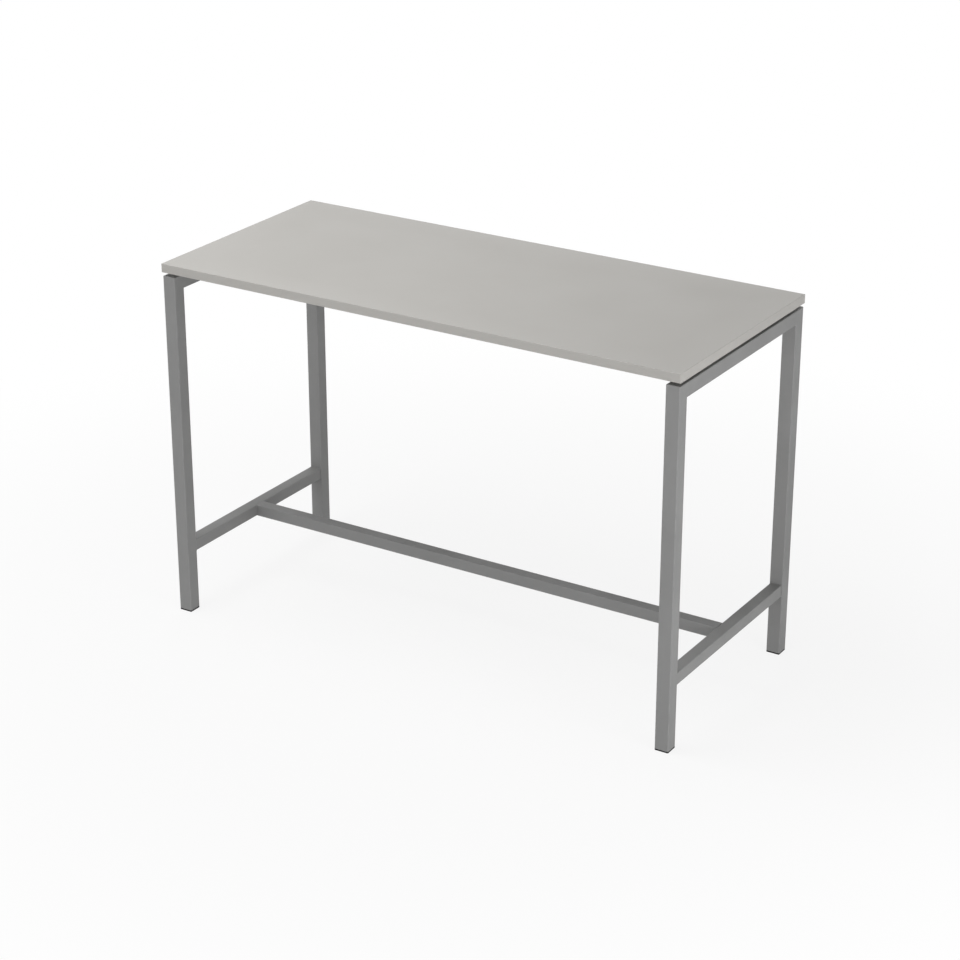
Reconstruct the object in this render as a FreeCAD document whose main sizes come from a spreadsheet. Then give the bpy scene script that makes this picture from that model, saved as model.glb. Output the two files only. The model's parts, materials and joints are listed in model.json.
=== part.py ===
import FreeCAD, Part
import math
import os
import Sketcher
from FreeCAD import Placement, Rotation, Vector

# Standing meeting table, in millimetres. The origin is on the floor under the middle of the top,
# +X runs along the top, +Y from the front edge to the back edge and +Z up.

document = FreeCAD.newDocument("StandingMeetingTable")

drivingDimensions = dict(
    # the top
    tableLength=1600,
    tableWidth=700,
    tableHeight=1050,
    boardThickness=25,
    bandThickness=2,
    bandRounding=1,
    # how the top sits over the end frames
    topOverhang=2,
    shadowGap=10,
    # square tube of the two end frames
    legSize=40,
    tubeWall=2,
    tubeCorner=3,
    # lighter square tube of the rails near the floor
    lowerTubeSize=35,
    footrestUnderside=180,
    # square stubs that carry the ends of the footrest beam
    spigotLength=70,
    spigotPlay=0.5,
    spigotWall=2.5,
    # rectangular tubes under the top, their folded seats and the cleats for the top's screws
    supportWidth=20,
    supportHeight=40,
    supportSpacing=340,
    plateWidth=30,
    plateThickness=3,
    foldRadius=1,
    seatReach=40,
    seatTopGap=2,
    cleatReach=30,
    cleatHeight=25,
    cleatHole=17,
    cleatSpacing=1100,
    # screws
    threadDiameter=6,
    threadPlay=0.1,
    clearanceHole=6.6,
    hexHeadFlats=10,
    hexHeadHeight=4,
    topScrewLength=20,
    pilotHoleDepth=18,
    frameScrewLength=12,
    # weld beads
    beadReach=2.4,
    beadRise=1.6,
    beadSink=1,
    # plastic foot inserts
    footClearance=0.8,
    footFlange=4.2,
    plugPlay=0.4,
    plugHeight=25,
    plugWall=2,
    plugFloor=3,
    finPlay=0.05,
    finThickness=1.2,
    finPitch=7,
    finCount=3,
    bossSize=18,
    bossHeight=22,
    ribThickness=1.6,
    ribHeight=17,
    # levelling feet: an M8 stem with a hexagonal pad, nested in the foot insert
    stemDiameter=8,
    stemPlay=0.1,
    stemPassage=9,
    stemLength=40,
    nutFlats=13,
    nutThickness=6.5,
    nutPocketPlay=0.2,
    padFlats=27,
    padThickness=4,
    padFloor=1.2,
    padRecess=33,
)


class Size:
    # A length that knows both its number and the spreadsheet formula that it follows.
    def __init__(self, formula, value):
        self.formula = formula
        self.value = value

    def __add__(self, other):
        other = asSize(other)
        return Size(f"({self.formula} + {other.formula})", self.value + other.value)

    def __radd__(self, other):
        return asSize(other) + self

    def __sub__(self, other):
        other = asSize(other)
        return Size(f"({self.formula} - {other.formula})", self.value - other.value)

    def __rsub__(self, other):
        return asSize(other) - self

    def __mul__(self, other):
        other = asSize(other)
        return Size(f"{self.formula} * {other.formula}", self.value * other.value)

    def __rmul__(self, other):
        return asSize(other) * self

    def __truediv__(self, other):
        other = asSize(other)
        return Size(f"{self.formula} / {other.formula}", self.value / other.value)

    def __neg__(self):
        return asSize(-1) * self


def asSize(item):
    if isinstance(item, Size):
        return item
    return Size(f"({item})", item)


sheet = document.addObject("Spreadsheet::Sheet", "Sizes")
for row, (alias, number) in enumerate(drivingDimensions.items(), start=1):
    sheet.set(f"A{row}", alias)
    sheet.set(f"B{row}", str(number))
    sheet.setAlias(f"B{row}", alias)
document.recompute()


class Dimensions:
    # Every driving dimension as a Size bound to its cell in the spreadsheet.
    def __getattr__(self, alias):
        return Size(f"Sizes.{alias}", drivingDimensions[alias])


dim = Dimensions()

# Sizes and places that follow from the driving dimensions.
frameLength = dim.tableLength - 2 * dim.topOverhang
frameWidth = dim.tableWidth - 2 * dim.topOverhang
boardUnderside = dim.tableHeight - dim.boardThickness
frameTop = boardUnderside - dim.shadowGap
legBottom = dim.footClearance + dim.footFlange
legHeight = frameTop - legBottom
legX = (frameLength - dim.legSize) / 2
legY = (frameWidth - dim.legSize) / 2
legInside = legY - dim.legSize / 2
upperRailInside = legX - dim.legSize / 2
upperRailHeight = frameTop - dim.legSize / 2
lowerRailLength = 2 * legInside
lowerRailInside = legX - dim.lowerTubeSize / 2
lowerRailHeight = dim.footrestUnderside + dim.lowerTubeSize / 2
footrestLength = 2 * lowerRailInside
footrestScrewX = (footrestLength - dim.spigotLength) / 2
spigotSize = dim.lowerTubeSize - 2 * dim.tubeWall - dim.spigotPlay
supportLength = 2 * (upperRailInside - dim.plateThickness - dim.foldRadius)
supportUnderside = boardUnderside - dim.supportHeight
supportInside = (dim.supportSpacing - dim.supportWidth) / 2
seatUnderside = supportUnderside - dim.plateThickness
seatHeight = boardUnderside - dim.seatTopGap - seatUnderside
seatScrewX = upperRailInside - dim.seatReach / 2
cleatUnderside = boardUnderside - dim.plateThickness
screwShank = dim.threadDiameter - dim.threadPlay
plugSize = dim.legSize - 2 * dim.tubeWall - 2 * dim.plugPlay
recessDepth = dim.padThickness - dim.footClearance
nutSeat = legBottom + dim.bossHeight - dim.nutThickness

exported = []  # the objects that are written as sub-parts


def bind(item, name, length):
    item.setExpression(name, asSize(length).formula)


def place(item, x=0, y=0, z=0, rotation=Rotation()):
    item.Placement = Placement(Vector(0, 0, 0), rotation)
    for axis, length in (("x", x), ("y", y), ("z", z)):
        bind(item, f"Placement.Base.{axis}", length)


def turned(degrees):
    return Rotation(Vector(0, 0, 1), degrees)


def newBody(label):
    body = document.addObject("PartDesign::Body", label)
    body.Label = label
    return body


def export(item):
    exported.append(item)
    return item


# Sketches

def newSketch(body, name, plane, offset=0, shiftX=0, shiftY=0):
    sketch = body.newObject("Sketcher::SketchObject", name)
    for feature in body.Origin.OriginFeatures:
        if feature.Role == plane:
            sketch.AttachmentSupport = [(feature, "")]
    sketch.MapMode = "FlatFace"
    bind(sketch, "AttachmentOffset.Base.x", shiftX)
    bind(sketch, "AttachmentOffset.Base.y", shiftY)
    bind(sketch, "AttachmentOffset.Base.z", offset)
    return sketch


def fixPoint(sketch, geometry, end, x, y):
    # Holds one point of the sketch at x, y; a zero coordinate puts it on the axis.
    for kind, length, axis in (("DistanceX", asSize(x), -2), ("DistanceY", asSize(y), -1)):
        if abs(length.value) < 1e-9:
            sketch.addConstraint(Sketcher.Constraint("PointOnObject", geometry, end, axis))
        else:
            index = sketch.addConstraint(Sketcher.Constraint(kind, -1, 1, geometry, end, length.value))
            sketch.setExpression(f"Constraints[{index}]", length.formula)


def addPolygon(sketch, corners):
    points = [Vector(asSize(x).value, asSize(y).value, 0) for x, y in corners]
    first = sketch.GeometryCount
    count = len(points)
    for index in range(count):
        sketch.addGeometry(Part.LineSegment(points[index], points[(index + 1) % count]))
    for index in range(count):
        following = first + (index + 1) % count
        sketch.addConstraint(Sketcher.Constraint("Coincident", first + index, 2, following, 1))
    for index, (x, y) in enumerate(corners):
        fixPoint(sketch, first + index, 1, x, y)


def addRectangle(sketch, width, height):
    halfWidth = width / 2
    halfHeight = height / 2
    addPolygon(sketch, [(-halfWidth, -halfHeight), (halfWidth, -halfHeight),
                        (halfWidth, halfHeight), (-halfWidth, halfHeight)])


def addRoundedRectangle(sketch, width, height, radius):
    # Four lines joined by four tangent arcs, centred on the sketch's origin.
    halfWidth = asSize(width).value / 2
    halfHeight = asSize(height).value / 2
    bend = radius.value
    first = sketch.GeometryCount
    for quarter in range(4):
        across = quarter % 2 == 1
        reach = halfWidth if across else halfHeight  # from the centre to this side
        run = (halfHeight if across else halfWidth) - bend  # half of its straight length
        turn = math.radians(90 * quarter)
        along = Vector(math.cos(turn), math.sin(turn), 0)
        outward = Vector(math.sin(turn), -math.cos(turn), 0)
        sketch.addGeometry(Part.LineSegment(outward * reach - along * run, outward * reach + along * run))
        centre = outward * (reach - bend) + along * run
        circle = Part.Circle(centre, Vector(0, 0, 1), bend)
        sketch.addGeometry(Part.ArcOfCircle(circle, turn - math.pi / 2, turn))
    for quarter in range(4):
        line = first + 2 * quarter
        following = first + (2 * quarter + 2) % 8
        direction = "Vertical" if quarter % 2 else "Horizontal"
        sketch.addConstraint(Sketcher.Constraint(direction, line))
        sketch.addConstraint(Sketcher.Constraint("Tangent", line, 2, line + 1, 1))
        sketch.addConstraint(Sketcher.Constraint("Tangent", line + 1, 2, following, 1))
        if quarter:
            sketch.addConstraint(Sketcher.Constraint("Equal", first + 1, line + 1))
    sketch.addConstraint(Sketcher.Constraint("Symmetric", first + 1, 3, first + 5, 3, -1, 1))
    spans = (("DistanceX", first + 6, first + 2, width), ("DistanceY", first, first + 4, height))
    for kind, low, high, length in spans:
        constraint = Sketcher.Constraint(kind, low, 1, high, 1, asSize(length).value)
        index = sketch.addConstraint(constraint)
        sketch.setExpression(f"Constraints[{index}]", asSize(length).formula)
    index = sketch.addConstraint(Sketcher.Constraint("Radius", first + 1, bend))
    sketch.setExpression(f"Constraints[{index}]", radius.formula)


def addCircle(sketch, diameter, x=0, y=0):
    centre = Vector(asSize(x).value, asSize(y).value, 0)
    circle = sketch.addGeometry(Part.Circle(centre, Vector(0, 0, 1), diameter.value / 2))
    fixPoint(sketch, circle, 3, x, y)
    index = sketch.addConstraint(Sketcher.Constraint("Diameter", circle, diameter.value))
    sketch.setExpression(f"Constraints[{index}]", diameter.formula)


def addHexagon(sketch, acrossFlats, x=0, y=0):
    outer = acrossFlats / math.sqrt(3)  # from the centre to a corner
    corners = []
    for sixth in range(6):
        turn = math.radians(60 * sixth)
        corners.append((x + outer * round(math.cos(turn), 9), y + outer * round(math.sin(turn), 9)))
    addPolygon(sketch, corners)


# Features

def addFeature(body, kind, name, sketch, length, symmetric=False, reverse=False):
    feature = body.newObject(f"PartDesign::{kind}", name)
    feature.Profile = sketch
    if length is None:
        feature.Type = "ThroughAll"
    else:
        bind(feature, "Length", length)
    feature.SideType = "Symmetric" if symmetric else "One side"
    feature.Reversed = reverse
    sketch.Visibility = False
    return feature


def roundEdges(body, name, radius, wanted):
    # Fillets the edges of the body's tip that the function wanted picks.
    document.recompute()
    tip = body.Tip
    names = [f"Edge{number}" for number, edge in enumerate(tip.Shape.Edges, start=1) if wanted(edge)]
    fillet = body.newObject("PartDesign::Fillet", name)
    fillet.Base = (tip, names)
    bind(fillet, "Radius", radius)
    return fillet


def addTube(body, plane, width, height, length, symmetric=True):
    sketch = newSketch(body, "section", plane)
    addRoundedRectangle(sketch, width, height, dim.tubeCorner)
    addRectangle(sketch, width - 2 * dim.tubeWall, height - 2 * dim.tubeWall)
    addFeature(body, "Pad", "tube", sketch, length, symmetric)


def addMitre(sketch, cornerX, cornerY, towardX, towardY):
    # A right-angled triangle that cuts 45 degrees across a tube's end, a margin past each face.
    margin = dim.tubeCorner
    reach = dim.legSize + 2 * margin
    x = cornerX - towardX * margin
    y = cornerY - towardY * margin
    addPolygon(sketch, [(x, y), (x + towardX * reach, y), (x, y + towardY * reach)])


def makeGroup(label, spots):
    # Copies of small parts as separate solids of one sub-part; a spot is part, x, y, z and rotation.
    links = []
    for number, (part, x, y, z, rotation) in enumerate(spots, start=1):
        link = document.addObject("App::Link", f"{label}_{number}")
        link.LinkedObject = part
        place(link, x, y, z, rotation)
        links.append(link)
    compound = document.addObject("Part::Compound", label)
    compound.Label = label
    compound.Links = links
    export(compound)


# Screws with hexagonal heads

def makeHexScrew(label, length):
    # The head's underside is the plane z = 0 and the shank points up.
    body = newBody(label)
    head = newSketch(body, "headOutline", "XY_Plane")
    addHexagon(head, dim.hexHeadFlats)
    addFeature(body, "Pad", "head", head, dim.hexHeadHeight, reverse=True)
    shank = newSketch(body, "shankOutline", "XY_Plane")
    addCircle(shank, screwShank)
    addFeature(body, "Pad", "shank", shank, length)
    return body


# The top: a faced board with four glued edge bands

def fixingSpots(fromBeam, z, rotation=Rotation()):
    # Two places along each support beam, on the side that faces the middle of the table.
    spots = []
    for side, degrees in ((-1, 0), (1, 180)):
        for end in (-1, 1):
            y = side * (supportInside - fromBeam)
            spots.append((end * dim.cleatSpacing / 2, y, z, turned(degrees) * rotation))
    return spots


def makeBoard():
    body = newBody("tabletop_board")
    outline = newSketch(body, "outline", "XY_Plane")
    addRectangle(outline, dim.tableLength - 2 * dim.bandThickness, dim.tableWidth - 2 * dim.bandThickness)
    addFeature(body, "Pad", "board", outline, dim.boardThickness)
    holes = newSketch(body, "pilotHoles", "XY_Plane")
    for x, y, z, rotation in fixingSpots(dim.cleatHole, 0):
        addCircle(holes, dim.threadDiameter, x, y)
    addFeature(body, "Pocket", "blindHoles", holes, dim.pilotHoleDepth, reverse=True)
    place(body, z=boardUnderside)
    export(body)


def makeEdgeBand(label, length, x, y, degrees):
    # Drawn along X with its outside towards -Y, then turned to its side of the board.
    body = newBody(label)
    section = newSketch(body, "section", "YZ_Plane")
    outside = -dim.bandThickness
    top = dim.boardThickness
    addPolygon(section, [(0, 0), (0, top), (outside, top), (outside, 0)])
    addFeature(body, "Pad", "band", section, length, symmetric=True)

    def longOuterEdge(edge):
        box = edge.BoundBox
        return box.YMax < outside.value / 2 and box.XLength > 1

    roundEdges(body, "rounding", dim.bandRounding, longOuterEdge)
    place(body, x, y, boardUnderside, turned(degrees))
    export(body)


def makeTop():
    makeBoard()
    halfLength = dim.tableLength / 2 - dim.bandThickness
    halfWidth = dim.tableWidth / 2 - dim.bandThickness
    makeEdgeBand("edge_band_front", dim.tableLength, 0, -halfWidth, 0)
    makeEdgeBand("edge_band_back", dim.tableLength, 0, halfWidth, 180)
    makeEdgeBand("edge_band_left", 2 * halfWidth, -halfLength, 0, 270)
    makeEdgeBand("edge_band_right", 2 * halfWidth, halfLength, 0, 90)


# The end frames: legs and an upper rail joined by mitres, and a lower rail butted between the legs

def makeLeg(label, x, y, degrees):
    body = newBody(label)
    addTube(body, "XY_Plane", dim.legSize, dim.legSize, legHeight, symmetric=False)
    mitre = newSketch(body, "mitreSide", "YZ_Plane")
    addMitre(mitre, dim.legSize / 2, legHeight, -1, -1)
    addFeature(body, "Pocket", "mitre", mitre, 2 * dim.legSize, symmetric=True)
    place(body, x, y, legBottom, turned(degrees))
    export(body)


def makeUpperRail(label, x):
    body = newBody(label)
    addTube(body, "XZ_Plane", dim.legSize, dim.legSize, frameWidth)
    mitres = newSketch(body, "mitreSides", "YZ_Plane")
    for end in (-1, 1):
        addMitre(mitres, end * frameWidth / 2, -dim.legSize / 2, -end, 1)
    addFeature(body, "Pocket", "mitres", mitres, 2 * dim.legSize, symmetric=True)
    place(body, x, 0, upperRailHeight)
    export(body)


def makeLowerRail(label, x):
    body = newBody(label)
    addTube(body, "XZ_Plane", dim.lowerTubeSize, dim.lowerTubeSize, lowerRailLength)
    place(body, x, 0, lowerRailHeight)
    export(body)


def makeFlatBead(label, length):
    # A straight bead along X in the corner of the planes y = 0 and z = 0, on their +Y and -Z sides.
    body = newBody(label)
    section = newSketch(body, "section", "YZ_Plane")
    addPolygon(section, [(0, 0), (dim.beadReach, 0), (0, -dim.beadRise)])
    addFeature(body, "Pad", "bead", section, length, symmetric=True)
    return body


def makeSideBead(length):
    # The upright bead between the side of a lower rail, at x = 0, and the rounded corner of its leg.
    # The flat face of the leg is the plane y = 0.
    body = newBody("sideBead")
    section = newSketch(body, "section", "XY_Plane")
    addPolygon(section, [(0, dim.beadReach), (0, -dim.beadSink), (dim.beadRise, -dim.beadSink)])
    addFeature(body, "Pad", "bead", section, length, symmetric=True)
    corner = newSketch(body, "legCorner", "XY_Plane")
    cornerX = dim.legSize / 2 - dim.tubeCorner - dim.lowerTubeSize / 2
    addCircle(corner, 2 * dim.tubeCorner, cornerX, -dim.tubeCorner)
    addFeature(body, "Pocket", "fitToCorner", corner, 2 * length, symmetric=True)
    return body


def makeFrameBeads(label, x, railBead, sideBead, mitreBead):
    # Round both ends of the lower rail, and in the inner corners of the two mitres.
    overTurn = Rotation(Vector(0, 1, 0), 180)
    half = dim.lowerTubeSize / 2
    spots = []
    for end, degrees in ((-1, 0), (1, 180)):
        y = end * legInside
        turn = turned(degrees)
        facing = -end  # +1 where the rail runs towards +Y
        spots.append((mitreBead, x, y, frameTop - dim.legSize, turn))
        spots.append((railBead, x, y, lowerRailHeight - half, turn))
        spots.append((railBead, x, y, lowerRailHeight + half, turn * overTurn))
        spots.append((sideBead, x + facing * half, y, lowerRailHeight, turn))
        spots.append((sideBead, x - facing * half, y, lowerRailHeight, turn * overTurn))
    makeGroup(label, spots)


def makeEndFrames():
    railBead = makeFlatBead("railBead", dim.lowerTubeSize - 2 * dim.tubeCorner)
    mitreBead = makeFlatBead("mitreBead", dim.legSize - 2 * dim.tubeCorner)
    sideBead = makeSideBead(dim.lowerTubeSize - 2 * dim.tubeCorner)
    for side, sideName in ((-1, "left"), (1, "right")):
        x = side * legX
        makeLeg(f"leg_front_{sideName}", x, -legY, 0)
        makeLeg(f"leg_back_{sideName}", x, legY, 180)
        makeUpperRail(f"upper_cross_rail_{sideName}", x)
        makeLowerRail(f"lower_cross_rail_{sideName}", x)
        makeFrameBeads(f"weld_beads_{sideName}", x, railBead, sideBead, mitreBead)


# The footrest beam, slid over a welded stub at each end and screwed to it from below

def makeFootrestBeam():
    body = newBody("footrest_beam")
    addTube(body, "YZ_Plane", dim.lowerTubeSize, dim.lowerTubeSize, footrestLength)
    holes = newSketch(body, "screwHoles", "XY_Plane")
    for side in (-1, 1):
        addCircle(holes, dim.clearanceHole, side * footrestScrewX)
    addFeature(body, "Pocket", "undersideHoles", holes, None)
    place(body, z=lowerRailHeight)
    export(body)


def makeSpigot(label, side):
    # The upper wall of the beam rests on the stub, and the play is below it.
    body = newBody(label)
    section = newSketch(body, "section", "YZ_Plane")
    addRectangle(section, spigotSize, spigotSize)
    addRectangle(section, spigotSize - 2 * dim.spigotWall, spigotSize - 2 * dim.spigotWall)
    addFeature(body, "Pad", "stub", section, dim.spigotLength, symmetric=True)
    hole = newSketch(body, "screwHole", "XY_Plane")
    addCircle(hole, dim.threadDiameter)
    addFeature(body, "Pocket", "tappedHole", hole, None)
    place(body, side * footrestScrewX, 0, lowerRailHeight + dim.spigotPlay / 2)
    export(body)


def makeFootrest(screw):
    makeFootrestBeam()
    makeSpigot("footrest_spigot_left", -1)
    makeSpigot("footrest_spigot_right", 1)
    spots = [(screw, side * footrestScrewX, 0, dim.footrestUnderside, Rotation()) for side in (-1, 1)]
    makeGroup("footrest_screws", spots)


# The two tubes under the top: folded seats hold them, and cleats take the screws of the top

def makeSupportBeam(label, y):
    body = newBody(label)
    addTube(body, "YZ_Plane", dim.supportWidth, dim.supportHeight, supportLength)
    holes = newSketch(body, "screwHoles", "XY_Plane")
    for side in (-1, 1):
        addCircle(holes, dim.threadDiameter, side * seatScrewX)
    addFeature(body, "Pocket", "tappedHoles", holes, None)
    place(body, 0, y, supportUnderside + dim.supportHeight / 2)
    export(body)


def makeAngle(label, reach, height, holeDistance):
    # An angle along X: its back is the plane y = 0 and its foot, with one hole, runs to +Y from z = 0.
    body = newBody(label)
    profile = newSketch(body, "profile", "YZ_Plane")
    plate = dim.plateThickness
    addPolygon(profile, [(0, 0), (reach, 0), (reach, plate), (plate, plate), (plate, height), (0, height)])
    addFeature(body, "Pad", "angle", profile, dim.plateWidth, symmetric=True)
    hole = newSketch(body, "holeOutline", "XY_Plane")
    addCircle(hole, dim.clearanceHole, 0, holeDistance)
    addFeature(body, "Pocket", "clearanceHole", hole, None, symmetric=True)
    return body


def makeSeat(label, x, y, degrees):
    # It carries a support beam on the inside face of an upper cross rail and covers its open end.
    body = makeAngle(label, dim.seatReach, seatHeight, dim.seatReach / 2)

    def edgeAlongX(distance):
        def isThere(edge):
            box = edge.BoundBox
            return box.XLength > 1 and abs(box.YMin - distance) < 0.01 and abs(box.ZMin - distance) < 0.01
        return isThere

    roundEdges(body, "outerFold", dim.foldRadius + dim.plateThickness, edgeAlongX(0))
    roundEdges(body, "innerFold", dim.foldRadius, edgeAlongX(dim.plateThickness.value))
    place(body, x, y, seatUnderside, turned(degrees))
    export(body)


def sideBeads(bead, x, y, z, degrees):
    # Two upright beads, one on each side of an angle whose back stands at x, y.
    alongX = round(math.cos(math.radians(degrees)))
    alongY = round(math.sin(math.radians(degrees)))
    spots = []
    for side in (-1, 1):
        reach = side * dim.plateWidth / 2
        rotation = turned(degrees) * Rotation(Vector(0, 1, 0), -90 * side)
        spots.append((bead, x + alongX * reach, y + alongY * reach, z, rotation))
    return spots


def makeSupports(screw):
    seatBeadFoot = seatUnderside + dim.plateThickness + dim.foldRadius
    seatBeadTop = frameTop - dim.tubeCorner
    seatBead = makeFlatBead("seatBead", seatBeadTop - seatBeadFoot)
    screws = []
    beads = []
    for depth, depthName in ((-1, "front"), (1, "back")):
        y = depth * dim.supportSpacing / 2
        makeSupportBeam(f"support_beam_{depthName}", y)
        for side, sideName in ((-1, "left"), (1, "right")):
            wallX = side * upperRailInside
            makeSeat(f"support_seat_{depthName}_{sideName}", wallX, y, 90 * side)
            screws.append((screw, side * seatScrewX, y, seatUnderside, Rotation()))
            beads += sideBeads(seatBead, wallX, y, (seatBeadFoot + seatBeadTop) / 2, 90 * side)
    makeGroup("support_seat_screws", screws)
    makeCleats(beads)
    makeGroup("weld_beads_supports", beads)


def makeCleats(beads):
    # Cut from angle and turned over, so that the foot of each cleat lies under the board.
    overTurn = Rotation(Vector(0, 1, 0), 180)
    cleat = makeAngle("cleat", dim.cleatReach, dim.cleatHeight, dim.cleatHole)
    makeGroup("fixing_cleats", [(cleat, *spot) for spot in fixingSpots(0, boardUnderside, overTurn)])
    beadLength = dim.cleatHeight - dim.tubeCorner
    bead = makeFlatBead("cleatBead", beadLength)
    for x, y, z, rotation in fixingSpots(0, boardUnderside - dim.cleatHeight + beadLength / 2):
        beads += sideBeads(bead, x, y, z, 180 if y.value > 0 else 0)
    screw = makeHexScrew("topScrew", dim.topScrewLength)
    makeGroup("tabletop_screws", [(screw, *spot) for spot in fixingSpots(dim.cleatHole, cleatUnderside)])


# The feet: a moulded insert in the end of each leg, and a levelling foot screwed into it

def makeFootInsert(label, x, y):
    # The flange closes the leg, ribs stiffen the hollow plug, and fins grip the bore of the tube.
    body = newBody(label)
    flange = newSketch(body, "flangeOutline", "XY_Plane")
    addRoundedRectangle(flange, dim.legSize, dim.legSize, dim.tubeCorner)
    addFeature(body, "Pad", "flange", flange, dim.footFlange, reverse=True)
    plug = newSketch(body, "plugOutline", "XY_Plane")
    addRectangle(plug, plugSize, plugSize)
    addFeature(body, "Pad", "plug", plug, dim.plugHeight)
    hollow = newSketch(body, "hollowOutline", "XY_Plane", offset=dim.plugFloor)
    addRectangle(hollow, plugSize - 2 * dim.plugWall, plugSize - 2 * dim.plugWall)
    addFeature(body, "Pocket", "hollow", hollow, dim.plugHeight, reverse=True)
    boss = newSketch(body, "bossOutline", "XY_Plane")
    addRectangle(boss, dim.bossSize, dim.bossSize)
    addFeature(body, "Pad", "boss", boss, dim.bossHeight)
    for name, width, depth in (("ribsAlong", plugSize, dim.ribThickness),
                               ("ribsAcross", dim.ribThickness, plugSize)):
        rib = newSketch(body, f"{name}Outline", "XY_Plane")
        addRectangle(rib, width, depth)
        addFeature(body, "Pad", name, rib, dim.ribHeight)
    finSize = dim.legSize - 2 * dim.tubeWall - 2 * dim.finPlay
    for number in range(int(dim.finCount.value)):
        fin = newSketch(body, f"finOutline{number}", "XY_Plane", offset=(number + 0.5) * dim.finPitch)
        addRectangle(fin, finSize, finSize)
        addRectangle(fin, plugSize - dim.plugWall, plugSize - dim.plugWall)
        addFeature(body, "Pad", f"fin{number}", fin, dim.finThickness)
    passage = newSketch(body, "passageOutline", "XY_Plane")
    addRectangle(passage, dim.stemPassage, dim.stemPassage)
    addFeature(body, "Pocket", "stemPassage", passage, None, symmetric=True)
    nutPocket = newSketch(body, "nutPocketOutline", "XY_Plane", offset=dim.bossHeight - dim.nutThickness)
    addHexagon(nutPocket, dim.nutFlats + dim.nutPocketPlay)
    addFeature(body, "Pocket", "nutPocket", nutPocket, dim.plugHeight, reverse=True)
    recess = newSketch(body, "recessOutline", "XY_Plane", offset=-dim.footFlange)
    addRectangle(recess, dim.padRecess, dim.padRecess)
    addFeature(body, "Pocket", "recess", recess, recessDepth, reverse=True)
    place(body, x, y, legBottom)
    export(body)


def makeFootNut(label, x, y):
    body = newBody(label)
    outline = newSketch(body, "outline", "XY_Plane")
    addHexagon(outline, dim.nutFlats)
    addCircle(outline, dim.stemDiameter + dim.stemPlay)
    addFeature(body, "Pad", "nut", outline, dim.nutThickness)
    place(body, x, y, nutSeat)
    export(body)


def makeLevellingPad(label, x, y):
    # Moulded on the lower end of the stem, and hexagonal so that a spanner can turn it.
    body = newBody(label)
    outline = newSketch(body, "outline", "XY_Plane")
    addHexagon(outline, dim.padFlats)
    addFeature(body, "Pad", "pad", outline, dim.padThickness)
    socket = newSketch(body, "socketOutline", "XY_Plane", offset=dim.padThickness)
    addCircle(socket, dim.stemDiameter)
    addFeature(body, "Pocket", "socket", socket, dim.padThickness - dim.padFloor)
    place(body, x, y)
    export(body)


def makeLevellingStem(label, x, y):
    body = newBody(label)
    outline = newSketch(body, "outline", "XY_Plane")
    addCircle(outline, dim.stemDiameter)
    addFeature(body, "Pad", "stem", outline, dim.stemLength)
    place(body, x, y, dim.padFloor)
    export(body)


def makeFeet():
    for sideY, depthName in ((-1, "front"), (1, "back")):
        for sideX, sideName in ((-1, "left"), (1, "right")):
            corner = f"{depthName}_{sideName}"
            x = sideX * legX
            y = sideY * legY
            makeFootInsert(f"foot_insert_{corner}", x, y)
            makeFootNut(f"foot_nut_{corner}", x, y)
            makeLevellingPad(f"levelling_pad_{corner}", x, y)
            makeLevellingStem(f"levelling_stem_{corner}", x, y)


def checkDocument():
    for item in document.Objects:
        if "Invalid" in item.State or "Error" in item.State:
            raise RuntimeError(f"{item.Name} of {item.TypeId} is in state {item.State}")
    for item in exported:
        shape = item.Shape
        if shape.isNull() or not shape.isValid():
            raise RuntimeError(f"{item.Label} has no valid shape")


def writeParts():
    os.makedirs("parts", exist_ok=True)
    for item in exported:
        item.Shape.exportStep(f"parts/{item.Label}.step")
        box = item.Shape.BoundBox
        print(f"{item.Label}: {len(item.Shape.Solids)} solid(s), "
              f"x {box.XMin:.1f} to {box.XMax:.1f}, y {box.YMin:.1f} to {box.YMax:.1f}, "
              f"z {box.ZMin:.1f} to {box.ZMax:.1f}, {item.Shape.Volume / 1000:.2f} cm3")


makeTop()
makeEndFrames()
frameScrew = makeHexScrew("frameScrew", dim.frameScrewLength)
makeFootrest(frameScrew)
makeSupports(frameScrew)
makeFeet()
document.recompute()
checkDocument()
writeParts()
print(f"{len(exported)} sub-parts")
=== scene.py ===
import json
import math
import bpy
import numpy as np
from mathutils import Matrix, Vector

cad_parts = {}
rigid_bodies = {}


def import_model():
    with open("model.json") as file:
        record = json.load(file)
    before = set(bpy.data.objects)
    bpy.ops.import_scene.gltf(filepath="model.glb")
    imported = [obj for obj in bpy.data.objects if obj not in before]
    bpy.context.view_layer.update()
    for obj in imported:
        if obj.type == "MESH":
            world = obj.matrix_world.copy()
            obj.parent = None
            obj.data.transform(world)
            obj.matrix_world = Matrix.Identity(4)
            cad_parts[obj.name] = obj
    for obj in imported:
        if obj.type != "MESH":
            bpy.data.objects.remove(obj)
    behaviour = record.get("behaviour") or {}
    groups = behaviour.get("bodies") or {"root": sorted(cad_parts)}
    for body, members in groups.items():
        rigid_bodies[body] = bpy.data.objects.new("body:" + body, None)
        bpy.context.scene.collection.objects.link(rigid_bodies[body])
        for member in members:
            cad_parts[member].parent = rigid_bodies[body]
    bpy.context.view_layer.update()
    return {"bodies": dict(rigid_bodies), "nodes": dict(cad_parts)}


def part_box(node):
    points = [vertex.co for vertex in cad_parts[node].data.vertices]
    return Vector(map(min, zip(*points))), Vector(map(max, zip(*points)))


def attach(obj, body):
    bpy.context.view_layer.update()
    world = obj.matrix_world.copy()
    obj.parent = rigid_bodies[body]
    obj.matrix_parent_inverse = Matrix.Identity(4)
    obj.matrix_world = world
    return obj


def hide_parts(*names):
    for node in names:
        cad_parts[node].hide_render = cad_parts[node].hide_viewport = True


# the frame is in metres, with x to the right, y to the back and z up
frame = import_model()
sides = {"left": -1, "right": 1}
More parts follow.
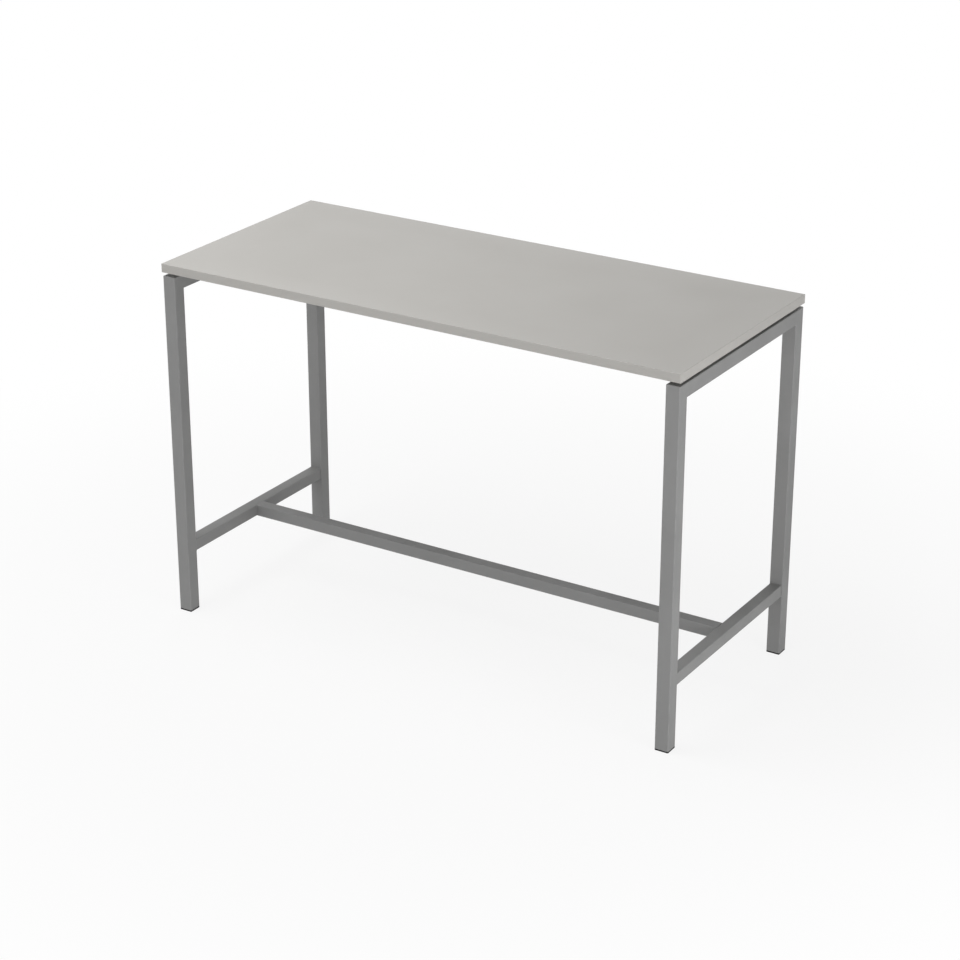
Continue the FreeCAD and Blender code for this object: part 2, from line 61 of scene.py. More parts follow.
depths = {"front": -1, "back": 1}
corners = [f"{depth}_{side}" for depth in depths for side in sides]
upward = np.array([0.0, 0.0, 1.0])


def boxOf(name):
    # lowest and highest corner of one of the frame's solids
    return [np.array(corner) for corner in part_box(name)]


def middleOf(name):
    low, high = boxOf(name)
    return (low + high) / 2


cameraView = dict(
    place=(3.3879, -5.3993, 3.2005),
    turn=32.05,  # degrees to the left of the table's depth
    tilt=23.25,  # degrees below level
    lens=93.75,
    film=36,
    nearest=0.05,
    furthest=200,
)


def makeCamera():
    view = cameraView
    data = bpy.data.cameras.new("camera")
    data.sensor_width = view["film"]
    data.lens = view["lens"]
    data.clip_start = view["nearest"]
    data.clip_end = view["furthest"]
    camera = bpy.data.objects.new("camera", data)
    camera.location = view["place"]
    camera.rotation_euler = (math.radians(90 - view["tilt"]), 0, math.radians(view["turn"]))
    bpy.context.scene.collection.objects.link(camera)
    bpy.context.scene.camera = camera
    bpy.context.scene.view_settings.view_transform = "Standard"


makeCamera()
print("camera set")


def addNode(tree, kind, inputs=None, **settings):
    # each input is a value for its socket or another node's output
    node = tree.nodes.new(kind)
    for name, value in settings.items():
        setattr(node, name, value)
    for socket, value in (inputs or {}).items():
        if isinstance(value, bpy.types.NodeSocket):
            tree.links.new(value, node.inputs[socket])
        else:
            node.inputs[socket].default_value = value
    return node


def calculate(tree, operation, first, second):
    return addNode(tree, "ShaderNodeMath", {0: first, 1: second}, operation=operation).outputs[0]


def objectPlace(tree):
    return addNode(tree, "ShaderNodeTexCoord").outputs["Object"]


def spread(tree, value, low, high):
    # a mask from 0 to 1 becomes a value from low to high
    limits = {"Value": value, "To Min": low, "To Max": high}
    return addNode(tree, "ShaderNodeMapRange", limits).outputs["Result"]


def mixColours(tree, share, first, second):
    # 6, 7 and output 2 are the colour sockets of a Mix node
    return addNode(tree, "ShaderNodeMix", {0: share, 6: first, 7: second}, data_type="RGBA").outputs[2]


def noiseMask(tree, place, scale, detail=3.0, low=0.35, high=0.65):
    # noise stretched so that low and high become 0 and 1
    noise = addNode(tree, "ShaderNodeTexNoise", {"Vector": place, "Scale": scale, "Detail": detail})
    stretched = {"Value": noise.outputs["Fac"], "From Min": low, "From Max": high}
    return addNode(tree, "ShaderNodeMapRange", stretched).outputs["Result"]


def newGroup(name, inputs, outputs):
    # inputs gives each socket's usual value, outputs each socket's kind
    group = bpy.data.node_groups.new(name, "ShaderNodeTree")
    for title, value in inputs.items():
        kind = "NodeSocketColor" if isinstance(value, tuple) else "NodeSocketFloat"
        group.interface.new_socket(title, in_out="INPUT", socket_type=kind).default_value = value
    for title, kind in outputs.items():
        group.interface.new_socket(title, in_out="OUTPUT", socket_type=kind)
    return group, addNode(group, "NodeGroupInput").outputs


def makeCloudyGroup():
    # Slow, faint unevenness of a colour, as in a large sheet or a coat of paint, with fine specks over
    # it. The colour is scaled by one less the strength times clouds plus specks.
    group, given = newGroup(
        "cloudyColour",
        {"Colour": (0.5, 0.5, 0.5, 1), "Cloud Scale": 2.0, "Speck Scale": 300.0, "Strength": 0.05},
        {"Colour": "NodeSocketColor", "Clouds": "NodeSocketFloat"})
    place = objectPlace(group)
    clouds = noiseMask(group, place, given["Cloud Scale"])
    specks = noiseMask(group, place, given["Speck Scale"], detail=1.0)
    both = calculate(group, "ADD", clouds, specks)
    level = calculate(group, "SUBTRACT", 1.0, calculate(group, "MULTIPLY", both, given["Strength"]))
    scaled = addNode(group, "ShaderNodeVectorMath", {0: given["Colour"], "Scale": level}, operation="SCALE")
    addNode(group, "NodeGroupOutput", {"Colour": scaled.outputs[0], "Clouds": clouds})
    return group


def makeGrainGroup():
    # a fine pebbled skin over a broader ripple, for moulded, pressed and sprayed surfaces
    group, given = newGroup(
        "skinGrain",
        {"Pebble Scale": 1500.0, "Ripple Scale": 300.0, "Ripple Share": 0.5},
        {"Height": "NodeSocketFloat"})
    place = objectPlace(group)
    pebbles = noiseMask(group, place, given["Pebble Scale"], detail=1.5)
    ripple = noiseMask(group, place, given["Ripple Scale"], detail=1.0)
    layers = {0: given["Ripple Share"], 2: pebbles, 3: ripple}  # a Mix node's number sockets
    mix = addNode(group, "ShaderNodeMix", layers, data_type="FLOAT")
    addNode(group, "NodeGroupOutput", {"Height": mix.outputs[0]})
    return group


def makeRubbedGroup():
    # How far the finish is rubbed: the piece's own corner mask, times noise that is nowhere under the
    # least, times the amount.
    group, given = newGroup(
        "rubbedCorners",
        {"Breakup Scale": 60.0, "Least": 0.0, "Amount": 0.5},
        {"Mask": "NodeSocketFloat"})
    corner = addNode(group, "ShaderNodeAttribute", attribute_name="corner", attribute_type="GEOMETRY")
    noise = noiseMask(group, objectPlace(group), given["Breakup Scale"], detail=4.0)
    patches = calculate(group, "MAXIMUM", noise, given["Least"])
    rubbed = calculate(group, "MULTIPLY", corner.outputs["Fac"], patches)
    addNode(group, "NodeGroupOutput", {"Mask": calculate(group, "MULTIPLY", rubbed, given["Amount"])})
    return group


cloudyColour = makeCloudyGroup()
skinGrain = makeGrainGroup()
rubbedCorners = makeRubbedGroup()


def useGroup(tree, group, values):
    return addNode(tree, "ShaderNodeGroup", values, node_tree=group).outputs


def newMaterial(name, shine):
    material = bpy.data.materials.new(name)
    material.use_nodes = True
    surface = material.node_tree.nodes["Principled BSDF"]
    for title, value in shine.items():
        surface.inputs[title].default_value = value
    return material, material.node_tree, surface


def dressSurface(tree, surface, colour, roughness, height, relief):
    # relief is the bump's height in metres
    bump = addNode(tree, "ShaderNodeBump", {"Height": height, "Distance": relief})
    tree.links.new(colour, surface.inputs["Base Color"])
    tree.links.new(roughness, surface.inputs["Roughness"])
    tree.links.new(bump.outputs["Normal"], surface.inputs["Normal"])


laminateLook = dict(
    shine={"IOR": 1.5},
    tone={"Colour": (0.455, 0.442, 0.417, 1), "Cloud Scale": 1.6, "Speck Scale": 420.0, "Strength": 0.022},
    grain={"Pebble Scale": 2200.0, "Ripple Scale": 700.0, "Ripple Share": 0.4},
    relief=0.00003,
    wiping=dict(scale=3.5, detail=5.0, low=0.3, high=0.7),
    roughness=(0.38, 0.50),
    worn=(0.464, 0.451, 0.426, 1),
    sleeveReach=0.10,  # how far in from its edges the board is worn
    polish=0.07,  # taken off the roughness there
)


def nearEdge(tree, half, reach):
    # 1 along the edges of the board, falling to 0 at the reach inside them. The distance from an edge is
    # half the board's size, less how far the place is from the board's middle.
    place = addNode(tree, "ShaderNodeVectorMath", {0: objectPlace(tree)}, operation="ABSOLUTE").outputs[0]
    inside = addNode(tree, "ShaderNodeVectorMath", {0: half, 1: place}, operation="SUBTRACT").outputs[0]
    apart = addNode(tree, "ShaderNodeSeparateXYZ", {0: inside}).outputs
    nearest = calculate(tree, "MINIMUM", apart["X"], apart["Y"])
    return spread(tree, calculate(tree, "DIVIDE", nearest, reach), 1.0, 0.0)


def makeLaminate():
    # warm grey melamine: faint clouds and specks, a fine pearl grain pressed in its face, a gloss that
    # changes slowly where it has been wiped, and a little wear where sleeves rub along its edges
    look = laminateLook
    material, tree, surface = newMaterial("melamineWarmGrey", look["shine"])
    tone = useGroup(tree, cloudyColour, look["tone"])
    grain = useGroup(tree, skinGrain, look["grain"])
    wiped = noiseMask(tree, objectPlace(tree), **look["wiping"])
    edge = nearEdge(tree, boxOf("tabletop_board")[1], look["sleeveReach"])
    worn = calculate(tree, "MULTIPLY", edge, wiped)
    polished = calculate(tree, "MULTIPLY", worn, look["polish"])
    roughness = calculate(tree, "SUBTRACT", spread(tree, wiped, *look["roughness"]), polished)
    colour = mixColours(tree, worn, tone["Colour"], look["worn"])
    dressSurface(tree, surface, colour, roughness, grain["Height"], look["relief"])
    return material


bandLook = dict(
    shine={"IOR": 1.5},
    tone={"Colour": (0.420, 0.408, 0.386, 1), "Cloud Scale": 5.0, "Speck Scale": 600.0, "Strength": 0.015},
    rubbed=(0.480, 0.468, 0.444, 1),
    rubbing={"Breakup Scale": 25.0, "Least": 0.6, "Amount": 0.9},
    lineStretch=(4, 4, 1600),  # noise cells to a metre of length, depth and height
    lineDetail=2.0,
    relief=0.00002,
    roughness=(0.32, 0.44),
)


def makeBandPlastic():
    # ABS edging close to the colour of the face, buffed paler along its edges, with the faint lengthwise
    # lines that trimming leaves
    look = bandLook
    material, tree, surface = newMaterial("edgingWarmGrey", look["shine"])
    tone = useGroup(tree, cloudyColour, look["tone"])
    rubbed = useGroup(tree, rubbedCorners, look["rubbing"])
    drawn = addNode(tree, "ShaderNodeMapping", {"Vector": objectPlace(tree), "Scale": look["lineStretch"]})
    lines = noiseMask(tree, drawn.outputs["Vector"], 1.0, detail=look["lineDetail"])
    colour = mixColours(tree, rubbed["Mask"], tone["Colour"], look["rubbed"])
    dressSurface(tree, surface, colour, spread(tree, lines, *look["roughness"]), lines, look["relief"])
    return material


paintLook = dict(  # matt powder coat, an orange-peel ripple with a fine sandy skin
    shine={"IOR": 1.5, "Specular IOR Level": 0.35},
    tone={"Colour": (0.250, 0.250, 0.248, 1), "Cloud Scale": 7.0, "Speck Scale": 900.0, "Strength": 0.03},
    grain={"Pebble Scale": 2600.0, "Ripple Scale": 620.0, "Ripple Share": 0.55},
    relief=0.00008,
    rubbed=(0.285, 0.285, 0.283, 1),
    rubbing={"Breakup Scale": 45.0, "Amount": 0.7},
    roughness=(0.46, 0.60),
)

plasticLook = dict(  # black nylon with an eroded grain, greyed where its corners rub on the floor
    shine={"IOR": 1.53, "Specular IOR Level": 0.12},
    tone={"Colour": (0.003, 0.003, 0.003, 1), "Cloud Scale": 60.0, "Speck Scale": 1500.0, "Strength": 0.12},
    grain={"Pebble Scale": 3200.0, "Ripple Scale": 900.0, "Ripple Share": 0.25},
    relief=0.00006,
    rubbed=(0.010, 0.010, 0.010, 1),
    rubbing={"Breakup Scale": 300.0, "Amount": 0.6},
    roughness=(0.50, 0.66),
)


def makeCoat(name, look):
    # a coat or a moulded skin: its colour is rubbed on the corners, and its gloss follows the clouds
    material, tree, surface = newMaterial(name, look["shine"])
    tone = useGroup(tree, cloudyColour, look["tone"])
    grain = useGroup(tree, skinGrain, look["grain"])
    rubbed = useGroup(tree, rubbedCorners, look["rubbing"])
    colour = mixColours(tree, rubbed["Mask"], tone["Colour"], look["rubbed"])
    roughness = spread(tree, tone["Clouds"], *look["roughness"])
    dressSurface(tree, surface, colour, roughness, grain["Height"], look["relief"])
    return material


zincLook = dict(
    shine={"Metallic": 1.0},
    bright=(0.63, 0.63, 0.61, 1),
    dull=(0.50, 0.49, 0.45, 1),
    patches=dict(scale=220.0, detail=4.0),
    rubbing={"Breakup Scale": 400.0, "Amount": 0.9},
    grain={"Pebble Scale": 2400.0, "Ripple Scale": 500.0, "Ripple Share": 0.6},
    relief=0.00003,
    roughness=(0.28, 0.46),
)


def makeZinc():
    # bright zinc plate with the small dents of forming, dulled in patches and bright where it is rubbed
    look = zincLook
    material, tree, surface = newMaterial("zincPlate", look["shine"])
    grain = useGroup(tree, skinGrain, look["grain"])
    rubbed = useGroup(tree, rubbedCorners, look["rubbing"])
    patches = noiseMask(tree, objectPlace(tree), **look["patches"])
    dulled = calculate(tree, "SUBTRACT", patches, rubbed["Mask"])
    colour = mixColours(tree, dulled, look["bright"], look["dull"])
    roughness = spread(tree, dulled, *look["roughness"])
    dressSurface(tree, surface, colour, roughness, grain["Height"], look["relief"])
    return material


melamine = makeLaminate()
edging = makeBandPlastic()
powderCoat = makeCoat("powderCoatGrey", paintLook)
nylon = makeCoat("nylonBlack", plasticLook)
zinc = makeZinc()
print("finishes mixed")


def joinRings(rings, closedTube=False, rubbed=0.0):
    # rings is (ring, point, xyz). Each quad joins two neighbouring points of a ring to the same two of
    # the next. A closed tube also joins its last ring to its first; otherwise a flat face closes each
    # end. The faces turn over if the volume inside, a sum of face area times distance, is negative.
    ringCount, pointCount = rings.shape[:2]
    here = np.arange(ringCount * pointCount).reshape(ringCount, pointCount)
    following = np.roll(here, -1, axis=0)
    quads = np.stack([here, np.roll(here, -1, axis=1), np.roll(following, -1, axis=1), following], axis=-1)
    quads = (quads if closedTube else quads[:-1]).reshape(-1, 4)
    points = rings.reshape(-1, 3)
    corner = points[quads] - points.mean(axis=0)
    area = np.cross(corner[:, 2] - corner[:, 0], corner[:, 3] - corner[:, 1])
    faces = quads.tolist()
    if not closedTube:
        faces += [here[0, ::-1].tolist(), here[-1].tolist()]
    if (area * corner.mean(axis=1)).sum() < 0:
        faces = [face[::-1] for face in faces]
    return points, faces, np.broadcast_to(rubbed, rings.shape[:2]).ravel()


creaseAngle = math.radians(32)  # an edge that turns further than this stays sharp


def makePiece(name, shells, material, replaced, body="table"):
    # One object from closed shells of points, faces and corner mask. Weighted normals keep its flat sides
    # flat beside their round corners.
    points, faces, rubbed = zip(*shells)
    starts = np.cumsum([0] + [len(shell) for shell in points]).tolist()
    allFaces = [[start + index for index in face] for start, shell in zip(starts, faces) for face in shell]
    mesh = bpy.data.meshes.new(name)
    mesh.from_pydata(np.concatenate(points).tolist(), [], allFaces)
    mesh.polygons.foreach_set("use_smooth", np.ones(len(allFaces), bool))
    mesh.set_sharp_from_angle(angle=creaseAngle)
    mask = mesh.attributes.new("corner", "FLOAT", "POINT")
    mask.data.foreach_set("value", np.concatenate(rubbed).astype(np.float32))
    mesh.materials.append(material)
    piece = bpy.data.objects.new(name, mesh)
    bpy.context.scene.collection.objects.link(piece)
    weighted = piece.modifiers.new("evenShading", "WEIGHTED_NORMAL")
    weighted.keep_sharp = True
    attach(piece, body)
    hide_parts(*replaced)


bandSizes = dict(rounding=0.001, glueLine=0.00012, arcSteps=7)


def bandShell(low, high, along, outward, roundedEnds):
    # The section is an upright strip. Its two outer corners are quarter circles, and its inner corners
    # stop short of the board by the glue line. It is carried along the board's edge, and at a rounded end
    # its outer face pulls in as a quarter circle.
    size, middle = high - low, (low + high) / 2
    halfLength, thickness, halfHeight = abs(size @ along) / 2, abs(size @ outward), size[2] / 2
    radius, glue = bandSizes["rounding"], bandSizes["glueLine"]
    turn = np.linspace(0, math.pi / 2, bandSizes["arcSteps"])
    arcOut = thickness - radius * (1 - np.sin(turn))
    arcUp = halfHeight - radius * (1 - np.cos(turn))
    sectionOut = np.concatenate([[0, glue], arcOut, arcOut[::-1], [glue, 0]])
    upperHalf = np.concatenate([[halfHeight - glue, halfHeight], arcUp])
    sectionUp = np.concatenate([upperHalf, -upperHalf[::-1]])
    rubbedHalf = np.concatenate([[0, 1], np.cos(turn)])
    rubbedSection = np.concatenate([rubbedHalf, rubbedHalf[::-1]])
    if roundedEnds:
        reach = halfLength - radius * (1 - np.sin(turn))
        pull = radius * (1 - np.cos(turn))
        rubbedEnd = np.sin(2 * turn)
    else:
        reach, pull, rubbedEnd = np.array([halfLength]), np.zeros(1), np.zeros(1)
    station = np.concatenate([-reach[::-1], reach])
    limit = thickness - np.concatenate([pull[::-1], pull])
    rubbedStation = np.concatenate([rubbedEnd[::-1], rubbedEnd])
    out = np.minimum(sectionOut, limit[:, None]) - thickness / 2
    rings = middle + station[:, None, None] * along + out[..., None] * outward + sectionUp[:, None] * upward
    rubbed = np.maximum(rubbedSection, rubbedStation[:, None] * (sectionOut > thickness / 2))
    return joinRings(rings, rubbed=rubbed)


def makeEdging():
    # the long bands cover the ends of the short ones, so theirs are the corners that are rounded
    arrows = {"front": (1, 0, 0), "back": (-1, 0, 0), "left": (0, -1, 0), "right": (0, 1, 0)}
    for side, along in arrows.items():
        along = np.array(along, float)
        shell = bandShell(*boxOf(f"edge_band_{side}"), along, np.cross(along, upward), side in depths)
        makePiece(f"edging_{side}", [shell], edging, [f"edge_band_{side}"])


makeEdging()
print("edging made")

tubeSizes = dict(corner=0.003, wall=0.002, boreCorner=0.001)


def roundedOutline(width, height, radius, steps=8):
    # Round a rectangle: each corner is a quarter circle, its centre plus radius times (cosine, sine). The
    # mask is the sine of twice the way round the corner, so it peaks in the middle of each corner.
    way = np.tile(np.linspace(0, math.pi / 2, steps), 4)
    quarter = np.repeat(np.arange(4), steps) * math.pi / 2
    across = np.sign(np.cos(quarter + math.pi / 4)) * (width / 2 - radius)
    up = np.sign(np.sin(quarter + math.pi / 4)) * (height / 2 - radius)
    angle = way + quarter
    outline = np.stack([across + radius * np.cos(angle), up + radius * np.sin(angle)], axis=1)
    return outline, np.sin(2 * way)


def tubeShell(path, outward, sideways, width, height):
    # A hollow tube. Each ring is a point of the path, plus the outline's first number times sideways,
    # plus its second number times that point's outward arrow. The bore comes back along the same path.
    wall = tubeSizes["wall"]
    outer, rubbed = roundedOutline(width, height, tubeSizes["corner"])
    bore = roundedOutline(width - 2 * wall, height - 2 * wall, tubeSizes["boreCorner"])[0]
    path, outward = np.array(path), np.array(outward, float)
    rings = [path[:, None] + outline[:, :1] * np.array(sideways) + outline[:, 1:] * outward[:, None]
             for outline in (outer, bore)]
    masks = np.repeat([rubbed, np.zeros(len(rubbed))], len(path), axis=0)
    return joinRings(np.concatenate([rings[0], rings[1][::-1]]), closedTube=True, rubbed=masks)


def makeEndFrame(side):
    # one tube up the front leg, along the upper rail and down the back leg; its outward arrows lean at
    # the mitres, which cuts the rings there at 45 degrees
    nodes = [f"leg_front_{side}", f"leg_back_{side}", f"upper_cross_rail_{side}"]
    low, high = boxOf(nodes[0])
    front, back, rail = (middleOf(node) for node in nodes)
    path = [(front[0], front[1], low[2]), (front[0], front[1], rail[2]),
            (back[0], back[1], rail[2]), (back[0], back[1], low[2])]
    outward = [(0, -1, 0), (0, -1, 1), (0, 1, 1), (0, 1, 0)]
    shell = tubeShell(path, outward, (1, 0, 0), *(high - low)[:2])
    makePiece(f"end_frame_{side}", [shell], powderCoat, nodes)


def makeStraightTube(name, node):
    # its path joins the middles of the two ends of the solid's box, along the longest side
    low, high = boxOf(node)
    size, middle = high - low, (low + high) / 2
    along = int(np.argmax(size))
    sideways = 1 - along  # the other level direction
    arrow = np.eye(3)[along] * size[along] / 2
    path = [middle - arrow, middle + arrow]
    shell = tubeShell(path, [upward, upward], np.eye(3)[sideways], size[sideways], size[2])
    makePiece(name, [shell], powderCoat, [node])


for side in sides:
    makeEndFrame(side)
    makeStraightTube(f"lower_rail_{side}", f"lower_cross_rail_{side}")
makeStraightTube("footrest", "footrest_beam")
for depth in depths:
    makeStraightTube(f"support_{depth}", f"support_beam_{depth}")
print("tubes made")

weldSizes = dict(
    reach=0.0024,
    rise=0.0016,
    sink=0.001,  # how far a bead runs into the metal
    ripple=0.0016,
    rippleDepth=0.08,
    fullness=0.2,
    endRound=0.0016,
    endShare=0.25,  # how much of its size a bead has left at its very end
    arcSteps=7,
    cornerSteps=12,
    pointsPerRipple=8,
)


def beadShell(line, along, across, closed):
    # A weld bead in the corner between two faces. From each point of the line it stands out by reach
    # times cosine along one face and rise times sine across the other, a little fuller between its toes.
    # Both swell and shrink with each ripple, and an open bead tapers at its ends as a quarter circle.
    size, sink = weldSizes, weldSizes["sink"]
    way = np.concatenate([[0], np.cumsum(np.linalg.norm(np.diff(line, axis=0), axis=1))])
    swell = 1 + size["rippleDepth"] * np.cos(way / size["ripple"] * 2 * math.pi)
    if not closed:
        fromEnd = np.clip(np.minimum(way, way[-1] - way) / size["endRound"], 0, 1)
        swell = swell * (size["endShare"] + (1 - size["endShare"]) * np.sqrt(1 - (1 - fromEnd) ** 2))
    turn = np.linspace(0, math.pi / 2, size["arcSteps"])
    full = 1 - size["fullness"] + size["fullness"] * np.sin(2 * turn)
    reach = np.concatenate([[-sink, sink], size["reach"] * np.cos(turn) * full, [-sink]])
    rise = np.concatenate([[-sink, -sink], size["rise"] * np.sin(turn) * full, [sink]])
    reach = np.where(reach > 0, reach * swell[:, None], reach)
    rise = np.where(rise > 0, rise * swell[:, None], rise)
    along, across = (np.broadcast_to(arrow, line.shape)[:, None] for arrow in (along, across))
    return joinRings(line[:, None] + reach[..., None] * along + rise[..., None] * across, closedTube=closed)


def railBead(low, high, end):
    # Round the outline of a lower rail, where it meets the inner face of its leg. The outline is cut into
    # equal steps, a whole number of ripples in all, and the arrow across is each step turned a quarter.
    size, middle = high - low, (low + high) / 2
    outline = roundedOutline(size[0], size[2], tubeSizes["corner"], weldSizes["cornerSteps"])[0]
    loop = np.concatenate([outline, outline[:1]])
    runs = np.concatenate([[0], np.cumsum(np.linalg.norm(np.diff(loop, axis=0), axis=1))])
    count = round(runs[-1] / weldSizes["ripple"]) * weldSizes["pointsPerRipple"]
    way = np.arange(count) / count * runs[-1]
    x, z = np.interp(way, runs, loop[:, 0]), np.interp(way, runs, loop[:, 1])
    level = np.zeros(count)
    line = np.stack([x, level, z], axis=1) + (middle[0], middle[1] + end * size[1] / 2, middle[2])
    step = np.roll(line, -1, axis=0) - np.roll(line, 1, axis=0)
    across = np.stack([step[:, 2], level, -step[:, 0]], axis=1) / np.linalg.norm(step, axis=1)[:, None]
    return beadShell(line, np.array([0.0, -end, 0.0]), across, closed=True)


def straightBead(start, end, along, across):
    # the line is start plus a share of the way to end, in equal steps
    start, end = np.array(start), np.array(end)
    ripples = np.linalg.norm(end - start) / weldSizes["ripple"]
    share = np.linspace(0, 1, int(ripples * weldSizes["pointsPerRipple"]) + 1)
    line = start + share[:, None] * (end - start)
    return beadShell(line, np.array(along, float), np.array(across, float), closed=False)


def makeFrameWelds(side):
    # round both ends of the lower rail, and across the inner corner of each mitre
    low, high = boxOf(f"lower_cross_rail_{side}")
    upperLow, upperHigh = boxOf(f"upper_cross_rail_{side}")
    middle = (upperLow + upperHigh)[0] / 2
    half = (upperHigh - upperLow)[0] / 2 - tubeSizes["corner"]
    shells = []
    for end, y in ((-1, low[1]), (1, high[1])):
        shells.append(railBead(low, high, end))
        left, right = (middle - half, y, upperLow[2]), (middle + half, y, upperLow[2])
        shells.append(straightBead(left, right, (0, -end, 0), (0, 0, -1)))
    makePiece(f"welds_{side}", shells, powderCoat, [f"weld_beads_{side}"])


for side in sides:
    makeFrameWelds(side)
print("frames welded")

angleSizes = dict(
    thickness=0.003,
    innerFold=0.001,
    foldSteps=9,
    brokenEdge=0.0004,
    edgeRounding=0.0006,
    edgeSteps=4,
    cleatWidth=0.030,
    cleatReach=0.030,
    cleatHole=0.017,  # from the cleat's back to the middle of its hole
)


def angleShell(corner, footwards, upright, reach, height, width):
    # A bent plate. Its thin rounded section is carried along the middle of the plate, from the foot
    # through a quarter circle to the upright. At both ends the section shrinks by the broken edge.
    size = angleSizes
    half, broken = size["thickness"] / 2, size["brokenEdge"]
    fold = size["innerFold"] + half
    centre = half + fold
    turn = np.linspace(0, math.pi / 2, size["foldSteps"])
    foot = np.concatenate([[reach, reach - broken], centre - fold * np.sin(turn), [half, half]])
    up = np.concatenate([[half, half], centre - fold * np.cos(turn), [height - broken, height]])
    footShare = np.concatenate([[0, 0], np.sin(turn), [1, 1]])
    upShare = np.concatenate([[1, 1], np.cos(turn), [0, 0]])
    shrink = np.concatenate([[broken], np.zeros(len(foot) - 2), [broken]])
    outline, rubbed = roundedOutline(width, size["thickness"], size["edgeRounding"], size["edgeSteps"])
    wide, thick = np.moveaxis(outline - np.sign(outline) * shrink[:, None, None], 2, 0)
    middle = np.array(corner) + foot[:, None] * footwards + up[:, None] * upright
    normal = footShare[:, None] * footwards + upShare[:, None] * upright
    sideways = np.cross(footwards, upright)
    rings = middle[:, None] + wide[..., None] * sideways + thick[..., None] * normal[:, None]
    return joinRings(rings, rubbed=rubbed)


def uprightBeads(spots, low, high, along):
    # one bead up each side of an angle, at its own spot and leaning away from the other
    beads = []
    for here, other in (spots, spots[::-1]):
        across = np.sign([*np.subtract(here, other), 0])
        beads.append(straightBead((*here, low), (*here, high), along, across))
    return beads


def makeSeats():
    # the foot carries the beam, and the upright stands against the rail's inside face
    beads = []
    railTop = boxOf("upper_cross_rail_left")[1][2] - tubeSizes["corner"]
    for depth in depths:
        for side, sign in sides.items():
            node = f"support_seat_{depth}_{side}"
            low, high = boxOf(node)
            size, middle = high - low, (low + high) / 2
            x = middle[0] + sign * size[0] / 2
            inward = np.array([-sign, 0.0, 0.0])
            shell = angleShell((x, middle[1], low[2]), inward, upward, size[0], size[2], size[1])
            makePiece(f"seat_{depth}_{side}", [shell], powderCoat, [node])
            foldEnd = low[2] + angleSizes["thickness"] + angleSizes["innerFold"]
            beads += uprightBeads([(x, low[1]), (x, high[1])], foldEnd, railTop, inward)
    return beads


def makeCleats(beads):
    # the upright stands against the beam's inside face, and the foot lies under the board
    low, high = boxOf("fixing_cleats")
    half, reach, height = angleSizes["cleatWidth"] / 2, angleSizes["cleatReach"], high[2] - low[2]
    weldTop = high[2] - tubeSizes["corner"]
    cleats, holes = [], []
    for depth in depths.values():
        for side in sides.values():
            x, y = side * (high[0] - half), depth * high[1]
            inward = np.array([0.0, -depth, 0.0])
            cleats.append(angleShell((x, y, high[2]), inward, -upward, reach, height, 2 * half))
            holes.append((x, y - depth * angleSizes["cleatHole"]))
            beads += uprightBeads([(x - half, y), (x + half, y)], low[2], weldTop, inward)
    makePiece("cleats", cleats, powderCoat, ["fixing_cleats"])
    makePiece("welds_supports", beads, powderCoat, ["weld_beads_supports"])
    return holes


cleatHoles = makeCleats(makeSeats())
print("seats and cleats made")

screwSizes = dict(
    flats=0.010,
    head=0.004,
    shank=0.00295,
    washerFace=0.0002,
    chamfer=0.0006,
    bend=0.0002,  # how far below the crown the chamfer bends
    dish=0.0004,
    turnPoints=48,
    washer=0.96,  # this and the five below are radii over half the flats
    widest=1.16,
    bent=1.06,
    crown=0.94,
    dishRim=0.62,
    dishFloor=0.55,
)


def turnPoints(count):
    return np.arange(count) / count * 2 * math.pi


def hexagonRadius(angle, flats):
    # half the flats, over the cosine of the angle from the nearest flat's middle; a corner is at 0
    return flats / 2 / np.cos(angle % (math.pi / 3) - math.pi / 6)


def turnedRings(angle, rows):
    # Rows of radius and height become rings round the axis: across is radius times cosine, and along the
    # depth is radius times sine.
    radius = np.array([np.broadcast_to(radius, angle.shape) for radius, height in rows])
    height = np.array([np.broadcast_to(height, angle.shape) for radius, height in rows])
    return np.stack([radius * np.cos(angle), radius * np.sin(angle), height], axis=2)


def screwShell(place, length):
    # A head ring's radius is the smaller of the hexagon's and a limit. The limit is wide along the head's
    # flats, and narrows to cut the cone off the corners. The shank is a circle, and the head is dished.
    size = screwSizes
    flat, head, face = size["flats"] / 2, size["head"], -size["washerFace"]
    angle = turnPoints(size["turnPoints"])
    hexagon = hexagonRadius(angle, size["flats"])
    limits = [("washer", 0), ("washer", face), ("widest", face), ("widest", size["chamfer"] - head),
              ("bent", size["bend"] - head), ("crown", -head)]
    rows = [(size["shank"], length), (size["shank"], 0)]
    rows += [(np.minimum(hexagon, flat * size[limit]), height) for limit, height in limits]
    rows += [(flat * size["dishRim"], -head), (flat * size["dishFloor"], size["dish"] - head)]
    rubbed = np.array([0, 0, 0, 0, 0, 1, 1, 1, 0, 0.0])  # round the chamfer
    return joinRings(turnedRings(angle, rows) + place, rubbed=rubbed[:, None])


def makeScrews(name, node, spots):
    low, high = boxOf(node)
    headTop = low[2] + screwSizes["head"]
    shells = [screwShell((x, y, headTop), high[2] - headTop) for x, y in spots]
    makePiece(name, shells, zinc, [node])


stubSpots = [middleOf(f"footrest_spigot_{side}")[:2] for side in sides]
seatSpots = [middleOf(f"support_seat_{corner}")[:2] for corner in corners]
makeScrews("footrest_hex_screws", "footrest_screws", stubSpots)
makeScrews("seat_hex_screws", "support_seat_screws", seatSpots)
makeScrews("top_hex_screws", "tabletop_screws", cleatHoles)
print("screws made")

